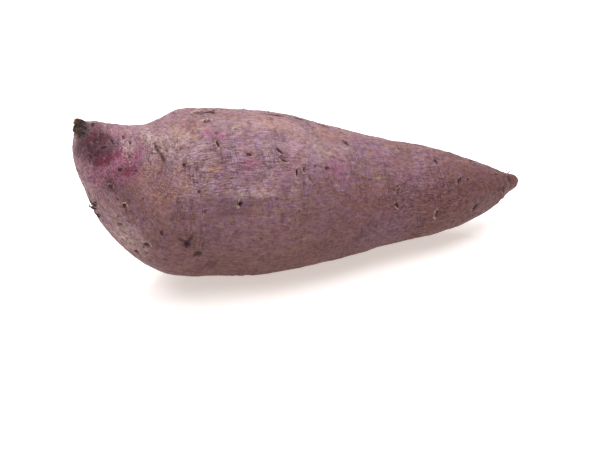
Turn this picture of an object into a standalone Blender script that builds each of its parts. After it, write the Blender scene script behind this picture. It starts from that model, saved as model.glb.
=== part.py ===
"""Purple yam: one whole storage root lying on its side, with its broken vine stub and rootlets.

Frame: +X runs along the root from the stem end to the tail, +Z is up, and the root rests on Z = 0.
The origin is under the middle of the object's box. Sizes below are in millimetres.
"""

import math

import bmesh
import bpy
import numpy as np
from mathutils import Vector

MM = 0.001

# The root's length is set out as rings. Each ring is a rounded hoop: the x, y and z of its centre,
# its half width, and how many degrees it leans back towards the stem end.
RINGS = np.array([
    (-65.0, -6.0, 78.5, 0.0, 55.0),
    (-63.5, -6.0, 76.0, 6.5, 55.0),
    (-60.5, -6.5, 70.5, 12.0, 53.0),
    (-56.0, -7.5, 64.0, 16.5, 46.0),
    (-50.5, -8.0, 57.0, 20.5, 37.0),
    (-44.0, -7.5, 49.0, 24.5, 27.0),
    (-36.0, -5.0, 42.2, 28.0, 17.0),
    (-26.0, -1.0, 37.5, 31.5, 9.0),
    (-13.0, 1.0, 34.0, 33.8, 4.0),
    (3.0, -1.0, 32.6, 33.8, 0.0),
    (24.0, -2.5, 30.5, 30.7, 0.0),
    (45.5, -3.0, 27.0, 25.7, 0.0),
    (66.0, -3.5, 24.5, 20.6, 0.0),
    (84.0, -4.0, 22.2, 17.2, 0.0),
    (98.0, -3.6, 20.2, 12.6, 0.0),
    (107.5, -2.6, 18.8, 7.8, 0.0),
    (113.5, -1.4, 18.0, 4.2, 0.0),
    (117.5, -0.4, 17.6, 2.6, 0.0),
    (119.5, 0.2, 17.4, 0.0, 0.0),
])
NECK_FLATTENING = 0.3       # how much a leaning ring is pressed in along its lean

# The shoulder is wider across one slant than across the other.
SHOULDER_X = -32.0
SHOULDER_REACH = 14.0
SHOULDER_SWELL = 0.08
SHOULDER_SLANT = math.radians(127.0)

# Broad swellings and hollows of the skin: x, y, z of the middle, reach, and height.
SWELLINGS = (
    (-31.0, 13.0, 68.0, 9.0, 0.9),
    (-62.0, -6.0, 80.0, 3.5, 1.2),
    (-30.0, -21.0, 64.0, 13.0, -2.4),
    (-46.0, 6.0, 32.0, 14.0, -2.4),
    (-28.0, 17.0, 13.0, 14.0, -2.0),
    (22.0, 22.0, 52.0, 15.0, 1.2),
    (50.0, -22.0, 36.0, 11.0, -1.0),
    (58.0, 15.0, 12.0, 14.0, 1.1),
    (-8.0, 33.0, 24.0, 16.0, -1.2),
    (86.0, -12.0, 32.0, 9.0, 0.8),
    (-37.5, 8.0, 67.5, 9.0, 1.2),
    (-47.5, 0.5, 73.0, 7.0, 0.9),
    (-58.5, -21.0, 41.0, 10.0, 1.6),
    (72.0, -18.0, 14.0, 10.0, 1.0),
    (97.0, 7.0, 26.0, 8.0, -0.8),
    (104.0, -8.0, 14.0, 7.0, 0.5),
)

SEGMENTS_AROUND = 52
SEGMENTS_ALONG = 44

# The vine stub: a short broken stalk on a flat seat at the stem end.
STUB_AXIS = Vector((-0.80, -0.10, 0.58)).normalized()
STUB_SEAT = Vector((-63.7, -6.3, 78.7))
STUB_FOOT_RADIUS = 3.9
STUB_END_RADIUS = 3.4
STUB_LENGTH = 2.8
STUB_SEGMENTS = 18
STUB_RAGGEDNESS = 0.7

# Rootlets: place along the rings, degrees round the ring, length, thickness at the foot,
# and the share of the length that lies over along the skin, towards the tail if positive.
ROOTLETS = (
    (3.50, -56.0, 4.6, 0.8, -0.9),
    (3.75, -61.0, 3.6, 0.7, -0.8),
    (9.10, 118.0, 2.6, 0.6, 0.6),
    (9.65, 115.0, 2.8, 0.6, -0.6),
    (12.60, 200.0, 4.5, 0.8, 0.8),
    (15.00, 20.0, 5.0, 0.8, 0.9),
)
ROOTLET_POINTS = 5
ROOTLET_RISE = 0.4          # height of the tip off the skin as a share of the length
ROOTLET_TIP_SHARE = 0.35    # thickness at the tip as a share of the foot's

TOUCH_GAP = 0.35            # clearance between pieces that meet


def clear_scene():
    for obj in list(bpy.data.objects):
        bpy.data.objects.remove(obj, do_unlink=True)


def make_material(name, colour, roughness):
    """Plant tissue: a Principled surface with one base colour and no metal."""
    material = bpy.data.materials.new(name)
    material.use_nodes = True
    shader = material.node_tree.nodes["Principled BSDF"]
    shader.inputs["Base Color"].default_value = (*colour, 1.0)
    shader.inputs["Roughness"].default_value = roughness
    shader.inputs["Metallic"].default_value = 0.0
    return material


def ring_at(place):
    """Centre, half width and lean of the ring at a place counted in rings, on a Catmull-Rom curve."""
    padded = np.vstack((2 * RINGS[0] - RINGS[1], RINGS, 2 * RINGS[-1] - RINGS[-2]))
    before = min(int(place), len(RINGS) - 2)
    t = place - before
    a, b, c, d = padded[before:before + 4]
    return 0.5 * (2 * b + (c - a) * t + (2 * a - 5 * b + 4 * c - d) * t**2 + (3 * b - a - 3 * c + d) * t**3)


def skin_point(place, turn):
    """The skin at a place along the rings and an angle round the ring, before it is seated.

    Zero degrees faces -Y and ninety faces up. Returns the point and the way out from the ring.
    """
    x, y, z, half_width, lean = ring_at(place)
    lean = math.radians(lean)
    across = Vector((0.0, -1.0, 0.0))
    upright = Vector((math.sin(lean), 0.0, math.cos(lean)))
    pressed = 1.0 - NECK_FLATTENING * math.sin(lean)**2
    outward = across * math.cos(turn) + upright * math.sin(turn) * pressed
    shoulder = SHOULDER_SWELL * math.exp(-((x - SHOULDER_X) / SHOULDER_REACH)**2)
    half_width *= 1.0 + shoulder * math.cos(2.0 * (turn - SHOULDER_SLANT))
    point = Vector((x, y, z)) + outward * max(half_width, 0.0)
    for sx, sy, sz, reach, height in SWELLINGS:
        distance = (point - Vector((sx, sy, sz))).length
        point += outward * height * math.exp(-(distance / reach)**2)
    above_seat = (point - STUB_SEAT).dot(STUB_AXIS)
    point -= STUB_AXIS * max(above_seat, 0.0)
    return point, outward.normalized()


def add_object(name, mesh, material, collection):
    mesh.materials.append(material)
    obj = bpy.data.objects.new(name, mesh)
    collection.objects.link(obj)
    return obj


def make_tuber(collection):
    """The storage root: a sphere whose rings are moved onto the root's rings, flat where it lies."""
    sphere = bmesh.new()
    bmesh.ops.create_uvsphere(sphere, u_segments=SEGMENTS_AROUND, v_segments=SEGMENTS_ALONG, radius=1.0)
    for vert in sphere.verts:
        place = math.acos(max(-1.0, min(1.0, vert.co.z))) / math.pi * (len(RINGS) - 1)
        turn = math.atan2(vert.co.y, vert.co.x)
        point, _ = skin_point(place, turn)
        point.z = max(point.z, 0.0)
        vert.co = point * MM
    mesh = bpy.data.meshes.new("tuber")
    sphere.to_mesh(mesh)
    sphere.free()
    mesh.shade_smooth()
    return add_object("tuber", mesh, make_material("tuber_skin", (0.27, 0.16, 0.17), 0.72), collection)


def make_stem_stub(collection):
    """The broken vine stub: a short stalk with a ragged end, standing just off the stem end."""
    stalk = bmesh.new()
    bmesh.ops.create_cone(
        stalk, cap_ends=True, segments=STUB_SEGMENTS, radius1=STUB_FOOT_RADIUS,
        radius2=STUB_END_RADIUS, depth=STUB_LENGTH,
    )
    for vert in stalk.verts:
        vert.co.z += STUB_LENGTH / 2
        if vert.co.z > STUB_LENGTH / 2:
            turn = math.atan2(vert.co.y, vert.co.x)
            vert.co.z += STUB_RAGGEDNESS * (math.sin(5 * turn) + math.sin(3 * turn + 1.0)) / 2
    turned = STUB_AXIS.to_track_quat("Z", "Y").to_matrix()
    foot = STUB_SEAT + STUB_AXIS * TOUCH_GAP
    for vert in stalk.verts:
        vert.co = (turned @ vert.co + foot) * MM
    mesh = bpy.data.meshes.new("stem_stub")
    stalk.to_mesh(mesh)
    stalk.free()
    return add_object("stem_stub", mesh, make_material("dry_stalk", (0.06, 0.04, 0.03), 0.9), collection)


def make_rootlet(number, place, turn, length, thickness, lie, material, collection):
    """One fine root, broken off short: a tapering tube that leaves the skin and lies over."""
    foot, outward = skin_point(place, math.radians(turn))
    further, _ = skin_point(place + 0.1, math.radians(turn))
    along = (further - foot).normalized()
    foot += outward * (TOUCH_GAP + thickness / 2)
    curve = bpy.data.curves.new(f"rootlet_{number}", "CURVE")
    curve.dimensions = "3D"
    curve.bevel_depth = thickness / 2 * MM
    curve.bevel_resolution = 2
    curve.use_fill_caps = True
    spline = curve.splines.new("POLY")
    spline.points.add(ROOTLET_POINTS - 1)
    for index, point in enumerate(spline.points):
        share = index / (ROOTLET_POINTS - 1)
        centre = foot + (outward * ROOTLET_RISE * share + along * lie * share**2) * length
        point.co = (*(centre * MM), 1.0)
        point.radius = 1.0 - (1.0 - ROOTLET_TIP_SHARE) * share
    curve.materials.append(material)
    rootlet = bpy.data.objects.new(f"rootlet_{number}", curve)
    collection.objects.link(rootlet)
    return rootlet


def centre_on_origin(pieces):
    """Moves every piece so that the middle of the whole box is over the origin."""
    bpy.context.view_layer.update()
    corners = np.array([obj.matrix_world @ Vector(corner) for obj in pieces for corner in obj.bound_box])
    middle = (corners.min(axis=0) + corners.max(axis=0)) / 2
    for obj in pieces:
        obj.location.x -= middle[0]
        obj.location.y -= middle[1]


def main():
    clear_scene()
    collection = bpy.data.collections.new("purple_yam")
    bpy.context.scene.collection.children.link(collection)
    pieces = [make_tuber(collection), make_stem_stub(collection)]
    hair = make_material("dry_rootlet", (0.10, 0.06, 0.04), 0.85)
    for number, rootlet in enumerate(ROOTLETS, start=1):
        pieces.append(make_rootlet(number, *rootlet, hair, collection))
    centre_on_origin(pieces)


main()
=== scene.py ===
"""A purple yam: one whole storage root lying on its side, with a broken vine stub and a few rootlets.

The sections follow the object: camera, root, vine stub, its loose fibres, rootlets, floor and light.
Shapes are worked out in millimetres in the root's growing frame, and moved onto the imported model.
"""

import itertools
import math

import bmesh
import bpy
import numpy as np
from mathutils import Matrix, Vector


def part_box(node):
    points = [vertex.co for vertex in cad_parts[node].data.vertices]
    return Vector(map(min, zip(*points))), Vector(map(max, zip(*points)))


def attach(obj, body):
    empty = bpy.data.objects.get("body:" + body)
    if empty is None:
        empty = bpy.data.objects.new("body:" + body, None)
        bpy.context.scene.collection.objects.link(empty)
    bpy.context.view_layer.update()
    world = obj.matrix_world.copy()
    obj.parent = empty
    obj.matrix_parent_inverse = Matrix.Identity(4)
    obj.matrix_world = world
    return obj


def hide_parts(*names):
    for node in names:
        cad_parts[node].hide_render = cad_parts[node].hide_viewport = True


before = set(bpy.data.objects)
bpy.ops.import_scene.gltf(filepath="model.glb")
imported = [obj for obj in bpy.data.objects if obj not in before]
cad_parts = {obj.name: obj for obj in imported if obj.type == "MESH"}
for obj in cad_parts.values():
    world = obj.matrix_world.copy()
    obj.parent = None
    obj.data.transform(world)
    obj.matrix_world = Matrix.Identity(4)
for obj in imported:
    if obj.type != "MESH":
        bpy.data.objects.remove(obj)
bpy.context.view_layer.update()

# --------------------------------------------------
# Camera. A long lens a good metre away, so that near and far parts keep their sizes. It looks down on
# the root from in front, a little from its stem end. Places are in metres.
# --------------------------------------------------

CAMERA_AIM = np.array((-0.0015, -0.0148, 0.0213))
CAMERA_AZIMUTH = math.radians(-14.0)
CAMERA_ELEVATION = math.radians(37.0)
CAMERA_DISTANCE = 1.211
CAMERA_NEAREST = 0.05
LENS_MM, SENSOR_MM = 175.0, 36.0


def placed(name, data):
    """A new object with this data, in the scene and at its origin."""
    made = bpy.data.objects.new(name, data)
    bpy.context.scene.collection.objects.link(made)
    return made


lens = bpy.data.cameras.new("camera")
lens.lens = LENS_MM
lens.sensor_width = SENSOR_MM
lens.clip_start = CAMERA_NEAREST
camera = placed("camera", lens)
camera_back = np.array((
    math.sin(CAMERA_AZIMUTH) * math.cos(CAMERA_ELEVATION),
    -math.cos(CAMERA_AZIMUTH) * math.cos(CAMERA_ELEVATION),
    math.sin(CAMERA_ELEVATION),
))
camera.location = CAMERA_AIM + camera_back * CAMERA_DISTANCE
camera.rotation_euler = (math.pi / 2 - CAMERA_ELEVATION, 0.0, CAMERA_AZIMUTH)
bpy.context.scene.camera = camera

# --------------------------------------------------
# The root. One swollen storage root, grown as a single piece: corky mauve skin over starchy flesh.
# Its stem end turns up and towards the front, its shoulder is plump, and it tapers to a root tail.
# The skin carries slits and eyes where side roots grew, wrinkles along it and faint girdles.
# --------------------------------------------------

MM = 0.001

# Rings along the root: x, y and z of the centre, half width, and degrees of lean to the stem end.
RINGS = np.array([
    (-65.0, -6.0, 78.5, 0.0, 55.0),
    (-63.5, -6.0, 76.0, 6.5, 55.0),
    (-60.5, -6.5, 70.5, 12.0, 53.0),
    (-56.0, -7.5, 64.0, 16.5, 46.0),
    (-50.5, -8.0, 57.0, 20.5, 37.0),
    (-44.0, -7.5, 49.0, 24.5, 27.0),
    (-36.0, -5.0, 42.2, 28.0, 17.0),
    (-26.0, -1.0, 37.5, 31.5, 9.0),
    (-13.0, 1.0, 34.0, 33.8, 4.0),
    (3.0, -1.0, 32.6, 33.8, 0.0),
    (24.0, -2.5, 30.5, 30.7, 0.0),
    (45.5, -3.0, 27.0, 25.7, 0.0),
    (66.0, -3.5, 24.5, 20.6, 0.0),
    (84.0, -4.0, 22.2, 17.2, 0.0),
    (98.0, -3.6, 20.2, 12.6, 0.0),
    (107.5, -2.6, 18.8, 7.8, 0.0),
    (113.5, -1.4, 18.0, 4.2, 0.0),
    (117.5, -0.4, 17.6, 2.6, 0.0),
    (119.5, 0.2, 17.4, 0.0, 0.0),
])
NECK_FLATTENING = 0.3  # how much a leaning ring is pressed in along its lean
SHOULDER_X, SHOULDER_REACH, SHOULDER_SWELL = -32.0, 14.0, 0.08
SHOULDER_SLANT = math.radians(127.0)

# Broad swellings and hollows: x, y, z of the middle, reach, and height.
SWELLINGS = (
    (-31.0, 13.0, 68.0, 9.0, 0.9),
    (-62.0, -6.0, 80.0, 3.5, 1.2),
    (-30.0, -21.0, 64.0, 13.0, -2.4),
    (-46.0, 6.0, 32.0, 14.0, -2.4),
    (-28.0, 17.0, 13.0, 14.0, -2.0),
    (22.0, 22.0, 52.0, 15.0, 1.2),
    (50.0, -22.0, 36.0, 11.0, -1.0),
    (58.0, 15.0, 12.0, 14.0, 1.1),
    (-8.0, 33.0, 24.0, 16.0, -1.2),
    (86.0, -12.0, 32.0, 9.0, 0.8),
    (-37.5, 8.0, 67.5, 9.0, 1.2),
    (-47.5, 0.5, 73.0, 7.0, 0.9),
    (-58.5, -21.0, 41.0, 10.0, 1.6),
    (72.0, -18.0, 14.0, 10.0, 1.0),
    (97.0, 7.0, 26.0, 8.0, -0.8),
    (104.0, -8.0, 14.0, 7.0, 0.5),
)

ROWS = 336  # rings of points from the stem end to the tail, evenly spaced on the skin
COLUMNS = 292  # points round each ring
FINE_STEPS = 2000  # steps along the root when its length over the skin is measured
LENGTH_LINES = 8  # lines from end to end over which that length is averaged
STEM_END_WAY = (-0.70, 0.0, 0.71)
TAIL_END_WAY = (1.0, 0.0, 0.0)
LATTICE = 64  # random values along each side of the noise's lattice, which then repeats


def ring_line(place):
    """Rings at places counted in rings: a Catmull-Rom cubic through the four nearest ones."""
    padded = np.vstack((2 * RINGS[0] - RINGS[1], RINGS, 2 * RINGS[-1] - RINGS[-2]))
    before = np.minimum(place.astype(int), len(RINGS) - 2)
    t = (place - before)[:, None]
    a, b, c, d = (padded[before + step] for step in range(4))
    square, cube = 2 * a - 5 * b + 4 * c - d, 3 * b - a - 3 * c + d
    return 0.5 * (2 * b + (c - a) * t + square * t**2 + cube * t**3)


def root_form(place, turn):
    """The smooth root: centre + outward * half width, for arrays of places and turns.

    Outward is -Y at turn 0 and up at a quarter turn, tipped back by the ring's lean. The half width
    swells by the cosine of twice the turn at the shoulder, and by a bell for each swelling.
    """
    x, y, z, half_width, lean = ring_line(place).T
    lean = np.radians(lean)
    pressed = 1.0 - NECK_FLATTENING * np.sin(lean)**2
    outward = np.stack((
        np.sin(lean) * np.sin(turn) * pressed, -np.cos(turn), np.cos(lean) * np.sin(turn) * pressed,
    ), axis=-1)
    shoulder = SHOULDER_SWELL * np.exp(-((x - SHOULDER_X) / SHOULDER_REACH)**2)
    width = np.maximum(half_width, 0.0) * (1.0 + shoulder * np.cos(2.0 * (turn - SHOULDER_SLANT)))
    points = np.stack((x, y, z), axis=-1) + outward * width[:, None]
    for *middle, reach, height in SWELLINGS:
        distance = np.linalg.norm(points - middle, axis=-1)
        points += outward * (height * np.exp(-(distance / reach)**2))[:, None]
    return points


def smooth_noise(points, cell, seed):
    """Noise from -1 to 1: random values at the corners of a lattice, blended by a smooth step.

    cell is the lattice spacing in millimetres, one number or one for each axis.
    """
    lattice = np.random.default_rng(seed).uniform(-1.0, 1.0, (LATTICE, LATTICE, LATTICE))
    scaled = points / np.asarray(cell, float)
    corner = np.floor(scaled).astype(int)
    share = scaled - corner
    share = share * share * (3.0 - 2.0 * share)
    total = np.zeros(len(points))
    for step in itertools.product((0, 1), repeat=3):
        weight = np.prod(np.where(step, share, 1.0 - share), axis=1)
        total += weight * lattice[tuple(((corner + step) % LATTICE).T)]
    return total


def step_up(value, low, high):
    """0 below low, 1 above high, and a smooth cubic between."""
    t = np.clip((value - low) / (high - low), 0.0, 1.0)
    return t * t * (3.0 - 2.0 * t)


# Rows are evenly spaced along the skin: equal steps of the mean length of lines drawn over it from
# the stem end to the tail.
fine_place = np.linspace(0.0, len(RINGS) - 1, FINE_STEPS)
fine_steps = np.mean([
    np.linalg.norm(np.diff(root_form(fine_place, np.full(FINE_STEPS, turn)), axis=0), axis=1)
    for turn in np.linspace(0.0, 2 * math.pi, LENGTH_LINES, endpoint=False)
], axis=0)
fine_length = np.concatenate(([0.0], np.cumsum(fine_steps)))
row_length = np.linspace(0.0, fine_length[-1], ROWS)
row_place = np.interp(row_length, fine_length, fine_place)
column_turn = np.linspace(0.0, 2 * math.pi, COLUMNS, endpoint=False)
grid_place = np.repeat(row_place, COLUMNS)
grid_turn = np.tile(column_turn, ROWS)

# The smooth skin, and three ways at each of its points: out of it, along it and round it.
form = root_form(grid_place, grid_turn)
form_grid = form.reshape(ROWS, COLUMNS, 3)
round_step = np.roll(form_grid, -1, axis=1) - np.roll(form_grid, 1, axis=1)
long_step = np.gradient(form_grid, axis=0)
normal = np.cross(long_step, round_step)
normal[0] = STEM_END_WAY
normal[-1] = TAIL_END_WAY
normal = (normal / np.linalg.norm(normal, axis=-1, keepdims=True)).reshape(-1, 3)
long_way = (long_step / (np.linalg.norm(long_step, axis=-1, keepdims=True) + 1e-9)).reshape(-1, 3)
round_way = np.cross(normal, long_way)

# The skin unrolled onto a straight root: distance along it, and the ring's own round. Wrinkles and
# fibres drawn on these follow the skin and meet themselves without a seam.
ring_width = np.maximum(np.interp(grid_place, np.arange(len(RINGS)), RINGS[:, 3]), 0.0)
unrolled = np.stack((
    row_length.repeat(COLUMNS), ring_width * np.cos(grid_turn), ring_width * np.sin(grid_turn),
), axis=-1)


def spot_on(place, degrees):
    """Index of the grid point nearest to a place along the rings and an angle round them."""
    row = np.abs(row_place - place).argmin()
    column = int(round((degrees % 360.0) / 360.0 * COLUMNS)) % COLUMNS
    return row * COLUMNS + column


def seen_from(place, degrees, slant):
    """Every skin point as seen from one spot: distances along a line, across it, outwards and straight.

    The line is drawn on the skin, slant degrees from straight round the root towards the tail.
    """
    middle = spot_on(place, degrees)
    slant = math.radians(slant)
    line = round_way[middle] * math.cos(slant) + long_way[middle] * math.sin(slant)
    away = form - form[middle]
    across = away @ np.cross(normal[middle], line)
    return away @ line, across, away @ normal[middle], np.linalg.norm(away, axis=1)


# Marks left by side roots and bruises: place, degrees round, length, width, depth, strength of the
# raised pale lip, how dark, and degrees by which the long way slants from straight round the root
# towards the tail.
MARKS = (
    (4.74, 79.0, 5.0, 1.3, 0.45, 0.40, 0.75, -24.0),
    (5.14, 68.5, 3.8, 1.4, 0.40, 0.30, 0.80, -16.0),
    (6.55, 60.0, 1.7, 1.2, 0.35, 0.70, 0.90, 10.0),
    (2.93, 24.0, 1.7, 1.3, 0.35, 0.15, 0.90, 20.0),
    (3.90, 351.0, 1.6, 1.3, 0.45, 1.60, 0.95, 60.0),
    (4.15, 348.0, 3.6, 0.9, 0.10, 0.30, 0.22, -60.0),
    (3.08, 352.0, 1.8, 1.2, 0.35, 0.70, 0.60, 60.0),
    (5.39, 336.0, 2.6, 1.6, 0.40, 0.60, 0.85, 75.0),
    (5.35, 319.0, 2.5, 1.5, 0.40, 0.80, 0.70, 80.0),
    (5.72, 356.0, 2.6, 1.2, 0.25, 0.20, 0.80, -48.0),
    (6.80, 354.0, 2.7, 2.7, 0.30, 0.10, 1.00, 20.0),
    (6.56, 356.0, 3.6, 1.2, 0.20, 0.00, 0.65, -70.0),
    (6.90, 359.0, 2.9, 1.2, 0.20, 0.00, 0.65, 12.0),
    (7.20, 347.0, 3.0, 2.0, 0.30, 0.15, 0.95, 80.0),
    (7.36, 21.0, 1.9, 1.3, 0.25, 0.70, 0.40, 30.0),
    (7.15, 36.0, 1.5, 1.2, 0.20, 0.60, 0.70, 0.0),
    (7.98, 70.5, 3.0, 0.9, 0.45, 0.90, 1.00, -8.0),
    (8.40, 27.0, 2.0, 1.2, 0.45, 1.30, 0.95, 5.0),
    (8.83, 62.0, 2.6, 1.0, 0.35, 0.60, 0.80, -66.0),
    (8.66, 84.0, 1.6, 0.9, 0.25, 0.90, 0.55, 80.0),
    (9.48, 65.5, 3.2, 0.9, 0.40, 0.70, 0.95, -46.0),
    (9.53, 58.5, 3.0, 0.9, 0.25, 1.40, 0.70, -62.0),
    (9.74, 49.5, 2.8, 0.9, 0.45, 1.20, 1.00, 14.0),
    (9.88, 51.5, 2.2, 0.8, 0.35, 0.90, 0.85, 8.0),
    (9.96, 45.0, 2.6, 0.9, 0.25, 0.60, 0.50, -25.0),
    (10.36, 54.0, 2.1, 1.5, 0.30, 0.30, 0.70, 80.0),
    (10.89, 84.0, 3.4, 1.2, 0.35, 0.35, 0.80, -42.0),
    (7.72, 106.0, 4.9, 2.7, 0.40, 0.90, 0.50, 84.0),
    (8.14, 107.0, 5.2, 2.2, 0.55, 0.50, 0.95, 86.0),
    (7.84, 94.0, 2.9, 1.9, 0.30, 1.10, 0.60, 84.0),
    (9.66, 111.0, 7.4, 1.9, 0.50, 0.40, 0.95, 100.0),
    (10.12, 112.0, 3.4, 1.8, 0.40, 0.40, 0.85, 92.0),
    (10.60, 110.0, 4.0, 2.2, 0.45, 0.40, 0.95, 100.0),
    (6.95, 122.0, 2.9, 1.5, 0.30, 0.30, 0.70, 70.0),
    (4.30, 331.0, 1.8, 1.2, 0.25, 0.30, 0.60, 35.0),
    (2.62, 80.0, 2.5, 1.1, 0.30, 0.90, 0.75, -15.0),
    (2.00, 60.0, 2.3, 1.0, 0.20, 0.20, 0.70, -40.0),
    (1.75, 35.0, 2.6, 1.2, 0.25, 0.20, 0.75, 30.0),
    (1.60, 350.0, 2.2, 1.1, 0.20, 0.20, 0.60, 60.0),
    (0.68, 86.0, 3.0, 1.6, 0.35, 0.20, 0.85, 55.0),
)
HIDDEN_MARKS, TAIL_MARKS, SPECKS = 42, 12, 130
MARK_SPACING = 3.0  # least distance between the edge of a scattered mark and its neighbours
MOST_TRIES = 4000
SCATTERED_LENGTH, SCATTERED_WIDTH, SCATTERED_DEPTH = 2.9, 1.2, 0.42  # for each unit of size
SCATTERED_SLANTS = (-30.0, 5.0, 35.0, 80.0)

mark_rows = list(MARKS)
draw = np.random.default_rng(71)


def scatter(count, size_range, place_range, degrees_range):
    """Adds marks at random places and sizes within the ranges, wherever no other mark is near."""
    tries = 0
    while count and tries < MOST_TRIES:
        tries += 1
        size = draw.uniform(*size_range)
        place, degrees = draw.uniform(*place_range), draw.uniform(*degrees_range)
        middle = form[spot_on(place, degrees)]
        others = form[[spot_on(row[0], row[1]) for row in mark_rows]]
        if np.linalg.norm(others - middle, axis=1).min() > MARK_SPACING + size:
            mark_rows.append((
                place, degrees, SCATTERED_LENGTH * size, SCATTERED_WIDTH * size,
                SCATTERED_DEPTH * size, draw.uniform(0.2, 0.9), draw.uniform(0.5, 0.95),
                draw.choice(SCATTERED_SLANTS),
            ))
            count -= 1


scatter(HIDDEN_MARKS, (0.7, 1.6), (3.0, 16.2), (128.0, 315.0))
scatter(TAIL_MARKS, (0.6, 1.2), (11.3, 16.4), (-20.0, 115.0))
scatter(SPECKS, (0.20, 0.45), (1.5, 16.5), (0.0, 360.0))

# A mark is a pit, deepest at its middle, inside a low raised lip. Distances from its middle are in its
# half lengths and half widths. Every point also keeps its place within the nearest mark, and how dark
# that mark is, so that the colour of a mark is drawn finer than the mesh.
PIT_STEEPNESS, PIT_RAGGEDNESS = 1.1, 0.2
PIT_LENGTH, PIT_WIDTH = 0.55, 0.5  # shares of the mark's length and width that a pit spans each way
PIT_MARGIN = 0.25  # added to its half width
PIT_REACH = (2.2, 3.0)  # lengths and millimetres off the middle at which pit and lip end
MARK_REACH = (0.6, 1.8)  # the same for the points that belong to the mark
LIP_HEIGHT, LIP_AT, LIP_WIDTH = 0.22, 1.9, 0.6
LONGEST_LIP = 3.0  # lips of marks longer than this are no higher
FAR_OFF = 9.0  # a place well outside any mark

relief = np.zeros(len(form))
nearest = np.ones(len(form))
mark_place = np.tile((FAR_OFF, FAR_OFF, 0.0), (len(form), 1))
mark_lip = np.zeros(len(form))
wobble = 1.0 + PIT_RAGGEDNESS * smooth_noise(form, 1.6, 5)
for place, degrees, length, width, depth, lip, darkness, slant in mark_rows:
    along, across, _, distance = seen_from(place, degrees, slant)
    pit = np.hypot(along / (PIT_LENGTH * length), across / (PIT_WIDTH * width + PIT_MARGIN)) * wobble
    pit = np.where(distance < PIT_REACH[0] * length + PIT_REACH[1], pit, 10.0 * FAR_OFF)
    relief -= depth * np.exp(-PIT_STEEPNESS * pit * pit)
    lip_height = LIP_HEIGHT * lip * min(length, LONGEST_LIP) / LONGEST_LIP
    relief += lip_height * np.exp(-((pit - LIP_AT) / LIP_WIDTH)**2)
    closeness = distance / (MARK_REACH[0] * length + MARK_REACH[1])
    closer = closeness < nearest
    nearest[closer] = closeness[closer]
    within = np.stack((along / (0.5 * length), across / (0.5 * width), np.full(len(form), darkness)), -1)
    mark_place[closer] = within[closer]
    mark_lip[closer] = lip

# Unevenness, in millimetres: bumps of every size, wrinkles along the root that come and go, and sharp
# girdles round it. Wrinkles and girdles are valleys where a noise passes through zero.
WRINKLE_DEPTH, GIRDLE_DEPTH = 0.22, 0.18
FULL_RELIEF_WIDTH, LEAST_RELIEF = 14.0, 0.15  # relief fades where the root is thinner than this

grown = np.clip(ring_width / FULL_RELIEF_WIDTH, LEAST_RELIEF, 1.0)
for height, points, size, seed in (
    (0.50, form, 15.0, 11), (0.24, form, 6.0, 12), (0.12, unrolled, (7.0, 1.5, 1.5), 15),
):
    relief += height * grown * smooth_noise(points, size, seed)
wrinkle = 1.0 - np.abs(smooth_noise(unrolled, (13.0, 2.3, 2.3), 13))
wrinkled = step_up(smooth_noise(unrolled, 17.0, 14), -0.3, 0.5)
relief -= WRINKLE_DEPTH * grown * wrinkled * wrinkle**3
girdle = 1.0 - np.abs(smooth_noise(unrolled, (3.6, 26.0, 26.0), 16))
relief -= GIRDLE_DEPTH * grown * girdle**4
relief += 0.08 * smooth_noise(form, 1.9, 17)

# Long soft creases: place, degrees round, half length, half width, depth (a ridge if negative), slant.
CREASES = (
    (8.45, 26.5, 9.0, 1.7, 1.20, 88.0),
    (8.60, 33.5, 10.0, 2.2, -0.60, 88.0),
    (3.90, 68.0, 13.0, 2.6, 1.00, -8.0),
    (2.70, 52.0, 9.0, 6.0, -0.70, 0.0),
    (4.80, 86.0, 9.0, 2.8, -0.50, -20.0),
    (4.40, 30.0, 9.0, 2.0, 0.40, 12.0),
    (5.60, 92.0, 8.0, 1.6, -0.30, 74.0),
    (5.90, 84.0, 8.0, 1.4, 0.25, 74.0),
    (10.8, 92.0, 11.0, 2.2, 0.40, 96.0),
    (11.6, 60.0, 10.0, 2.0, 0.30, 84.0),
    (6.30, 335.0, 9.0, 1.8, 0.35, 80.0),
    (12.2, 350.0, 11.0, 1.8, 0.40, 92.0),
    (9.40, 200.0, 12.0, 2.0, 0.55, 84.0),
    (12.4, 175.0, 10.0, 1.8, 0.40, 95.0),
    (6.80, 235.0, 12.0, 2.2, 0.50, 78.0),
    (13.6, 300.0, 8.0, 1.5, 0.35, 86.0),
)
CREASE_WANDER = 0.8  # how far a crease strays from its line
CREASE_REACH = 12.0  # how far below the skin it fades out, so that it misses the other side

strayed = CREASE_WANDER * smooth_noise(form, 7.0, 18)
for place, degrees, half_length, half_width, depth, slant in CREASES:
    along, across, outwards, _ = seen_from(place, degrees, slant)
    off = (along / half_length)**2 + ((across + strayed) / half_width)**2 + (outwards / CREASE_REACH)**2
    relief -= depth * np.exp(-off)

# Skin drawn up in a puckered collar round the vine stub, which stands on its seat along its axis.
STUB_SEAT = np.array((-63.7, -6.3, 78.7))
STUB_AXIS = np.array((-0.80, -0.10, 0.58)) / np.linalg.norm((-0.80, -0.10, 0.58))
COLLAR_RADIUS, COLLAR_REACH, COLLAR_HEIGHT = 3.9, 1.8, 0.90
COLLAR_PUCKERS, PUCKER_SHARE = 7, 0.35
COLLAR_DROP = 9.0  # skin further than this below the seat is left alone

from_seat = form - STUB_SEAT
up_axis = from_seat @ STUB_AXIS
off_axis = np.linalg.norm(from_seat - np.outer(up_axis, STUB_AXIS), axis=1)
collar = np.exp(-((off_axis - COLLAR_RADIUS) / COLLAR_REACH)**2) * (up_axis > -COLLAR_DROP)
relief += COLLAR_HEIGHT * collar * (1.0 + PUCKER_SHARE * np.cos(grid_turn * COLLAR_PUCKERS))

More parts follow.
